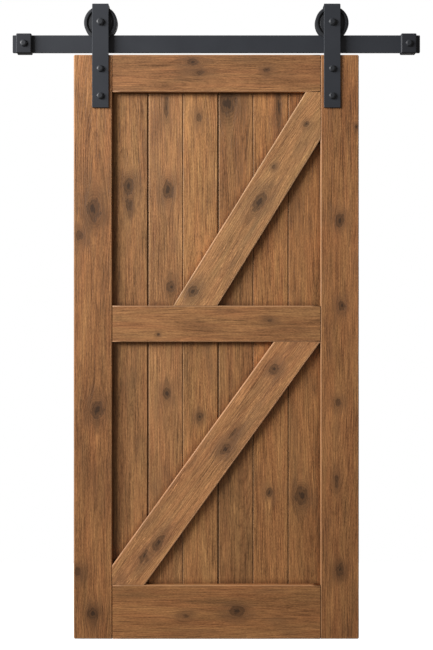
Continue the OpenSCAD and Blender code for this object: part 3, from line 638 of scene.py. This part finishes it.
# ---------------------------------------------------------------- frame of the leaf
# Two stiles, three rails and two braces, 20 mm pine, are laid on the planks and screwed from the
# back. The stiles run the full height and the rails butt between them; the braces are cut to lean
# in each opening. Every front arris is rounded over and rubbed a little by hand, and its paler
# colour is partly that wear and partly a painted highlight.


arris_radius, back_share = 0.0042, 0.12
cuts_apart = 0.035
worn_hollows, worn_nicks = 0.0004, 0.0002
hollows, nicks = 16, 70


def board_mesh(name, outline, turn, seed):
    """A board from its outline seen from the front. Each corner is (x, z, share), where share is how much
    of the full rounding the edge to the next corner gets."""
    form = bmesh.new()
    rounding = form.edges.layers.float.new("bevel_weight_edge")
    fronts = [form.verts.new((x, face_y, z)) for x, z, share in outline]
    backs = [form.verts.new((x, leaf_high.y, z)) for x, z, share in outline]
    form.faces.new(fronts)
    form.faces.new(list(reversed(backs)))
    count = len(outline)
    for k in range(count):
        form.faces.new((fronts[(k + 1) % count], fronts[k], backs[k], backs[(k + 1) % count]))
    bmesh.ops.recalc_face_normals(form, faces=form.faces)
    for k in range(count):
        form.edges.get((fronts[k], fronts[(k + 1) % count]))[rounding] = outline[k][2]
        form.edges.get((backs[k], backs[(k + 1) % count]))[rounding] = back_share
    mesh = bpy.data.meshes.new(name)
    form.to_mesh(mesh)
    form.free()
    mark_slots(mesh)
    mesh = finished_mesh(
        mesh, name, ("BEVEL", dict(width=arris_radius, segments=4, limit_method="WEIGHT", material=1)))
    form = bmesh.new()
    form.from_mesh(mesh)
    line = Vector((sin(turn), 0, cos(turn)))
    reaches = [Vector((x, 0, z)).dot(line) for x, z, share in outline]
    for reach in steps_between(min(reaches), max(reaches), cuts_apart)[1:-1]:
        bmesh.ops.bisect_plane(form, geom=form.verts[:] + form.edges[:] + form.faces[:], dist=1e-6,
                               plane_co=line * reach, plane_no=line)
    form.normal_update()
    for vert in form.verts:
        rounded = any(face.material_index for face in vert.link_faces)
        if rounded and vert.co.y - face_y < arris_radius * 1.01:
            x, y, z = vert.co
            hollow = max(0.0, noise.noise((x * hollows + seed, y * 40, z * hollows)) + 0.1)
            nick = max(0.0, noise.noise((x * nicks, seed, z * nicks)))
            vert.co -= vert.normal * (worn_hollows * hollow + worn_nicks * nick)
    mesh = finished_mesh(smooth_mesh(form, mesh), name, flat_faces_first())
    marked_arrises(mesh)
    return mesh


butt_gap = 0.0013
corner_radius = 0.006
left_x, right_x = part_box("left_stile")[0].x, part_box("right_stile")[1].x


def rounded_corner(x, z, start):
    """The outer corner of the leaf as short steps of an arc, turning left from a start angle in quarter turns."""
    turns = [(start + k / 4) * pi / 2 for k in range(5)]
    return [(x + corner_radius * cos(turn), z + corner_radius * sin(turn), full) for turn in turns]


low_in, high_in = leaf_low.z + corner_radius, leaf_high.z - corner_radius
left_outline = (rounded_corner(left_x + corner_radius, low_in, 2)
                + [(inner_left, leaf_low.z, full), (inner_left, leaf_high.z, full)]
                + rounded_corner(left_x + corner_radius, high_in, 1))
right_outline = ([(inner_right, leaf_low.z, full)] + rounded_corner(right_x - corner_radius, low_in, 3)
                 + rounded_corner(right_x - corner_radius, high_in, 0) + [(inner_right, leaf_high.z, full)])


def rail(node):
    """A rail's outline, turn and middle: butted ends, with its grain level."""
    low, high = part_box(node)
    left, right = low.x + butt_gap, high.x - butt_gap
    outline = [(left, low.z, full), (right, low.z, butt), (right, high.z, full), (left, high.z, butt)]
    return outline, pi / 2, ((low.x + high.x) / 2, face_y, (low.z + high.z) / 2)


frame_boards = {
    "left_stile": (left_outline, 0, ((left_x + inner_left) / 2, face_y, leaf_middle), dict(
        stain=srgb(152, 103, 64), seed=41.3, pith=0.02, depth=0.045, tilt=0.03, knots=[
            (0.004, 0.502, 0.021, 1.75, 1.0), (-0.047, 0.404, 0.014, 1.5, 0.7), (0.016, -0.229, 0.021, 1.3, 1.0),
            (-0.054, -0.821, 0.012, 1.5, 0.7), (-0.001, -0.973, 0.017, 1.1, 1.0)])),
    "right_stile": (right_outline, 0, ((right_x + inner_right) / 2, face_y, leaf_middle), dict(
        stain=srgb(152, 103, 64), seed=52.9, pith=-0.02, depth=0.04, tilt=-0.035, knots=[
            (0.062, 0.802, 0.006, 1.3, 0.9), (0.0, 0.460, 0.013, 1.6, 1.0), (0.006, 0.150, 0.012, 1.5, 0.85),
            (-0.005, -0.205, 0.012, 1.5, 0.65), (-0.011, -0.489, 0.008, 3.0, 0.8),
            (0.001, -0.813, 0.013, 1.4, 1.0)])),
    "top_rail": (*rail("top_rail"), dict(
        stain=srgb(146, 100, 64), bold=0.88, seed=63.1, pith=0.03, depth=0.05, tilt=0.05, knots=[
            (-0.041, -0.084, 0.013, 1.9, 0.75), (-0.006, -0.060, 0.012, 2.4, 0.5),
            (-0.012, 0.183, 0.010, 1.5, 0.6)])),
    "middle_rail": (*rail("middle_rail"), dict(
        stain=srgb(156, 108, 69), bold=0.82, seed=71.7, pith=-0.01, depth=0.04, tilt=-0.06, knots=[
            (0.039, -0.211, 0.0045, 1.4, 0.8), (-0.013, 0.195, 0.010, 1.6, 0.45)])),
    "bottom_rail": (*rail("bottom_rail"), dict(
        stain=srgb(161, 110, 69), bold=0.8, seed=84.2, pith=0.03, depth=0.055, tilt=0.05, knots=[
            (-0.003, 0.075, 0.017, 1.35, 1.0), (0.014, -0.111, 0.012, 1.8, 0.3)])),
    "upper_brace": (*upper_brace, dict(
        stain=srgb(170, 123, 82), bold=0.78, flecked=0.9, seed=95.8, pith=0.015, depth=0.045, tilt=0.05, knots=[
            (0.0, -0.015, 0.017, 1.9, 1.0), (-0.023, 0.122, 0.007, 1.4, 0.7), (-0.004, 0.318, 0.008, 1.4, 0.9),
            (-0.034, -0.417, 0.015, 1.3, 0.95)])),
    "lower_brace": (*lower_brace, dict(
        stain=srgb(178, 125, 83), bold=0.78, flecked=0.9, seed=107.4, pith=-0.02, depth=0.045, tilt=-0.05, knots=[
            (-0.009, 0.417, 0.013, 1.4, 1.0), (0.018, 0.076, 0.015, 1.3, 1.0), (0.009, 0.139, 0.010, 3.0, 0.7),
            (0.020, -0.342, 0.015, 2.0, 0.85), (0.008, -0.415, 0.013, 2.2, 0.8)])),
}
for number, (node, (outline, turn, middle, wood)) in enumerate(frame_boards.items()):
    finish = stained_wood("stained_" + node, centre=middle, turn=turn, **wood)
    name = node + "_board"
    place(board_mesh(name, outline, turn, 5.1 * number), name, "door", "stained_frame", finish, node)

# ---------------------------------------------------------------- frame screws and dowels
# Countersunk wood screws hold the frame boards to the planks from the back, where their heads lie
# flush. Beech dowels, hidden in the joints, hold the rails to the stiles. The CAD dowels are right
# as they are.


def metal_finish(name, tone, roughness, seed):
    """Bare or plated metal with fine turning marks and a few darker clouds."""
    finish, tree, shader, where = new_finish(name)
    clouds = grains(tree, where, 30, 3, seed)
    tree.links.new(mixed(tree, clouds, shade(tone, 0.8), shade(tone, 1.1)), shader.inputs["Base Color"])
    tree.links.new(maths(tree, "MULTIPLY_ADD", clouds, 0.2, roughness - 0.1), shader.inputs["Roughness"])
    shader.inputs["Metallic"].default_value = 1.0
    bumped(tree, shader, grains(tree, where, 300, 2, seed + 4), 0.00005, 0.6)
    return finish


def turned_mesh(name, profile, centre=(0, 0, 0), count=48, closed=False):
    """Turns a profile of (radius, y, flats) about the Y axis; flats above 2 make that ring a polygon."""
    form = bmesh.new()
    rings = []
    for radius, y, flats in profile:
        ring = []
        if radius < 1e-7:
            ring = [form.verts.new((centre[0], centre[1] + y, centre[2]))] * count
        else:
            for k in range(count):
                turn = tau * k / count
                r = radius
                if flats > 2:
                    part = tau / flats
                    r = radius * cos(part / 2) / cos((turn % part) - part / 2)
                ring.append(form.verts.new((centre[0] + r * cos(turn), centre[1] + y, centre[2] + r * sin(turn))))
        rings.append(ring)
    pairs = list(zip(rings, rings[1:])) + ([(rings[-1], rings[0])] if closed else [])
    for low, high in pairs:
        for k in range(count):
            corners = []
            for vert in (low[k], low[(k + 1) % count], high[(k + 1) % count], high[k]):
                if vert not in corners:
                    corners.append(vert)
            if len(corners) > 2:
                form.faces.new(corners)
    bmesh.ops.recalc_face_normals(form, faces=form.faces)
    mesh = smooth_mesh(form, bpy.data.meshes.new(name))
    mesh.set_sharp_from_angle(angle=radians(32))
    return mesh


def islands(node):
    """The middle (x, z) and the back face of each separate solid of a CAD node."""
    form = bmesh.new()
    form.from_mesh(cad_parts[node].data)
    bmesh.ops.remove_doubles(form, verts=form.verts, dist=weld)
    left = set(form.verts)
    found = []
    while left:
        todo, own = [left.pop()], []
        while todo:
            vert = todo.pop()
            own.append(vert.co.copy())
            for edge in vert.link_edges:
                other = edge.other_vert(vert)
                if other in left:
                    left.remove(other)
                    todo.append(other)
        xs, zs = [c.x for c in own], [c.z for c in own]
        found.append(Vector(((min(xs) + max(xs)) / 2, max(c.y for c in own), (min(zs) + max(zs)) / 2)))
    form.free()
    return sorted(found, key=lambda c: (round(c.z, 4), c.x))


def parts_at_places_tree():
    """Sets one part at each vertex of a mesh, turned at random about Y, and gives the result a finish."""
    tree, given, result = new_tree(
        "GeometryNodeTree", "parts_at_places",
        {"Geometry": ("Places",), "Object": ("Part",), "Material": ("Finish",), "Int": ("Seed",)},
        {"Geometry": ("Parts",)})
    turn = add_node(tree, "FunctionNodeRandomValue", {3: tau, "Seed": given["Seed"]}, data_type="FLOAT")
    about_y = add_node(tree, "ShaderNodeCombineXYZ", {"Y": turn.outputs[1]})
    part = add_node(tree, "GeometryNodeObjectInfo", {"Object": given["Part"]})
    points = add_node(tree, "GeometryNodeMeshToPoints", {"Mesh": given["Places"]})
    parts = add_node(tree, "GeometryNodeInstanceOnPoints", {
        "Points": points.outputs[0], "Instance": part.outputs["Geometry"], "Rotation": about_y.outputs[0]})
    real = add_node(tree, "GeometryNodeRealizeInstances", {0: parts.outputs[0]})
    coated = add_node(tree, "GeometryNodeSetMaterial", {"Geometry": real.outputs[0], "Material": given["Finish"]})
    tree.links.new(coated.outputs[0], result[0])
    return tree


def grown(tree, name, start, values):
    """Runs a geometry tree on a mesh, with these values for its inputs, and returns one plain mesh."""
    blank = bpy.data.objects.new(name + "_blank", start)
    scene.collection.objects.link(blank)
    modifier = blank.modifiers.new("grown", "NODES")
    modifier.node_group = tree
    for item in tree.interface.items_tree:
        if item.in_out == "INPUT" and item.name in values:
            modifier[item.identifier] = values[item.name]
    return settled(blank, name)


parts_at_places = parts_at_places_tree()


def set_out(name, places, part_mesh, finish, seed):
    """Sets one part out at these places."""
    dots = bpy.data.meshes.new(name + "_places")
    dots.from_pydata([tuple(p) for p in places], [], [])
    part = bpy.data.objects.new(name + "_part", part_mesh)
    scene.collection.objects.link(part)
    mesh = grown(parts_at_places, name, dots, {"Part": part, "Finish": finish, "Seed": seed})
    bpy.data.objects.remove(part)
    return mesh


screw_steel = metal_finish("phosphated_screw", srgb(92, 88, 84), 0.42, 5)
recess = [(0, -0.0014, 0), (0.0012, -0.0014, 6), (0.0016, 0.0001, 6)]
head = [(0.0036, 0.00025, 0), (0.0044, 0.0, 0), (0.0045, -0.0003, 0)]
shank = [(0.0022, -0.0026, 0), (0.0021, -0.030, 0), (0, -0.034, 0)]
screw = turned_mesh("screw", recess + head + shank, count=24)
place(set_out("countersunk_screws", islands("frame_screws"), screw, screw_steel, 4), "countersunk_screws", "door",
      "screw_steel", screw_steel, "frame_screws")


def dress(node, finish):
    """Gives a CAD piece that shows as it is its finish."""
    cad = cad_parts[node]
    cad.data.materials.clear()
    cad.data.materials.append(finish)


dress("frame_dowels", stained_wood("beech_dowel", srgb(196, 164, 120), 118.0, (0, face_y, leaf_middle), pi / 2,
                                   ring=0.002))

# ---------------------------------------------------------------- hanger straps
# Each strap is a flat steel bar, 60 by 6 mm, bent twice over the wheel: a long leg bolted to the
# face of the leaf and a short leg behind that carries the other end of the axle. It is coated like
# the track, and thinner coat shows along its arrises.


def bent_bar_tree():
    """Carries a flat bar's rounded section along a line with sharp turns, which it bends to a radius."""
    tree, given, result = new_tree(
        "GeometryNodeTree", "bent_bar",
        {"Geometry": ("Line",), "Float": ("Width", "Thickness", "Ease", "Bend radius"), "Material": ("Finish",)},
        {"Geometry": ("Bar",)})
    line = add_node(tree, "GeometryNodeMeshToCurve", {0: given["Line"]})
    section = add_node(tree, "GeometryNodeCurvePrimitiveQuadrilateral", {
        "Width": given["Width"], "Height": given["Thickness"]})
    bend, soft = [add_node(tree, "GeometryNodeFilletCurve", {
        "Curve": curve.outputs[0], "Count": count, "Radius": given[radius]}, mode="POLY")
        for curve, count, radius in ((line, 14, "Bend radius"), (section, 4, "Ease"))]
    sweep = add_node(tree, "GeometryNodeCurveToMesh", {
        "Curve": bend.outputs[0], "Profile Curve": soft.outputs[0], "Fill Caps": True})
    real = add_node(tree, "GeometryNodeRealizeInstances", {0: sweep.outputs[0]})
    coated = add_node(tree, "GeometryNodeSetMaterial", {"Geometry": real.outputs[0], "Material": given["Finish"]})
    tree.links.new(coated.outputs[0], result[0])
    return tree


bent_bar = bent_bar_tree()
strap_thickness, strap_bend, strap_ease, end_ease = 0.006, 0.011, 0.0011, 0.0008
crown, short_leg = 0.004, 0.031


def strap_mesh(side):
    """A strap bent from one line: up the face of the leaf, over the wheel and down behind it. The corners
    of its crown are rounded, and its long arrises are marked."""
    low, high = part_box(f"{side}_strap")
    x, half = (low.x + high.x) / 2, strap_thickness / 2
    wheel_low, wheel_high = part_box(f"{side}_wheel")
    front, back, top = low.y + half, high.y - half, high.z - half
    line = bpy.data.meshes.new("strap_line")
    line.from_pydata([(x, front, low.z), (x, front, top), (x, back, top),
                      (x, back, (wheel_low.z + wheel_high.z) / 2 - short_leg)], [(0, 1), (1, 2), (2, 3)], [])
    mesh = grown(bent_bar, f"{side}_strap_bar", line, {
        "Width": high.x - low.x, "Thickness": strap_thickness, "Ease": strap_ease,
        "Bend radius": strap_bend - half, "Finish": black_coat})
    form = bmesh.new()
    form.from_mesh(mesh)
    bmesh.ops.remove_doubles(form, verts=form.verts, dist=1e-6)
    bmesh.ops.recalc_face_normals(form, faces=form.faces)
    for vert in form.verts:
        sunk = high.z - vert.co.z
        if sunk < crown:
            inset = crown - sqrt(crown ** 2 - (crown - max(sunk, 0)) ** 2)
            vert.co.x += inset if vert.co.x < x else -inset
    mark_slots(smooth_mesh(form, mesh))
    mesh = finished_mesh(mesh, f"{side}_strap_mesh",
                         ("BEVEL", dict(width=end_ease, segments=2, limit_method="ANGLE", angle_limit=radians(50))),
                         flat_faces_first())
    for face in mesh.polygons:
        flat = max(abs(c) for c in face.normal)
        face.material_index = 1 if abs(face.normal.x) > 0.2 and flat < 0.995 else 0
    marked_arrises(mesh)
    return mesh


for side in ("left", "right"):
    place(strap_mesh(side), f"{side}_hanger_strap", "door", "black_powder_coat", black_coat, f"{side}_strap")
    for node, name, ease, angle in (
            ("strap_bolts", "hanger_bolts", 0.0005, 20), ("strap_washers", "hanger_washers", 0.0003, 28),
            ("strap_nuts", "hanger_nuts", 0.0004, 20), ("axle_bolt", "axle", 0.0005, 20),
            ("axle_nut", "axle_lock_nut", 0.0004, 20)):
        place(eased(f"{side}_{node}", ease, angle), f"{side}_{name}", "door", "black_bolt", black_bolt,
              f"{side}_{node}")

# ---------------------------------------------------------------- wheels and bearings
# The wheels are turned from steel, with a groove that rides on the top edge of the track, a raised
# rim ring, a channel and a thin web round the hub on each face. A ball bearing in the hub turns on
# the axle, held by a spring ring and two bushes.
wheel_coat = coated_finish("wheel_coat", srgb(43, 45, 49), srgb(64, 67, 71), 33, 0.25)
plain_steel = metal_finish("zinc_steel", srgb(168, 170, 172), 0.35, 7)
bearing_steel = metal_finish("bearing_steel", srgb(196, 198, 202), 0.2, 9)
cage_brass = metal_finish("cage_brass", srgb(190, 150, 82), 0.35, 11)


def wheel_profile():
    """The wheel's whole section as a closed loop of (radius, y): front face, groove, back face and bore."""
    half, soft, ease = 0.014, 0.0007, 0.0012
    wheel_r, ring, web, hub = 0.061, 0.050, 0.0425, 0.025
    web_step, channel_deep, fillet, toe, root = 0.0015, 0.0062, 0.0015, 0.0004, 0.001
    face, channel = half - web_step, half - channel_deep
    mouth, lip, groove_r, groove = 0.0072, 0.0006, 0.0435, 0.0046
    corner_r, corner = 0.0005, 0.00045
    back = [
        (hub - soft, half), (hub, half - soft), (hub + 0.4 * fillet, face + 0.2 * fillet), (hub + fillet, face),
        (web - soft, face), (web, face - soft), (web + toe, channel + toe), (web + root, channel),
        (ring - root, channel), (ring - toe, channel + toe), (ring, half - soft), (ring + soft, half),
        (wheel_r - ease, half), (wheel_r - 0.35 * ease, half - 0.35 * ease), (wheel_r, half - ease),
        (wheel_r, mouth), (wheel_r - toe, mouth - lip), (groove_r + corner_r, groove + corner), (groove_r, groove),
    ]
    seat, shoulder, bearing = 0.020, 0.0175, 0.007
    clip, clip_depth = 0.0016, 0.00087
    bore = [(shoulder + soft, half), (shoulder, half - soft), (shoulder, bearing), (seat, bearing), (seat, -bearing),
            (seat + clip_depth, -bearing), (seat + clip_depth, -bearing - clip), (seat, -bearing - clip),
            (seat, soft - half), (seat + soft, -half)]
    return [(r, y, 0) for r, y in [(r, -y) for r, y in back] + list(reversed(back)) + bore]


for side in ("left", "right"):
    low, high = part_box(f"{side}_wheel")
    place(turned_mesh(f"{side}_wheel_mesh", wheel_profile(), (low + high) / 2, 128, closed=True),
          f"{side}_grooved_wheel", f"{side}_wheel_body", "black_powder_coat", wheel_coat, f"{side}_wheel")
    for node, finish in (("axle_bushes", plain_steel), ("retaining_ring", plain_steel), ("inner_race", bearing_steel),
                         ("outer_race", bearing_steel), ("ball_cage", cage_brass), ("bearing_balls", bearing_steel)):
        dress(f"{side}_{node}", finish)
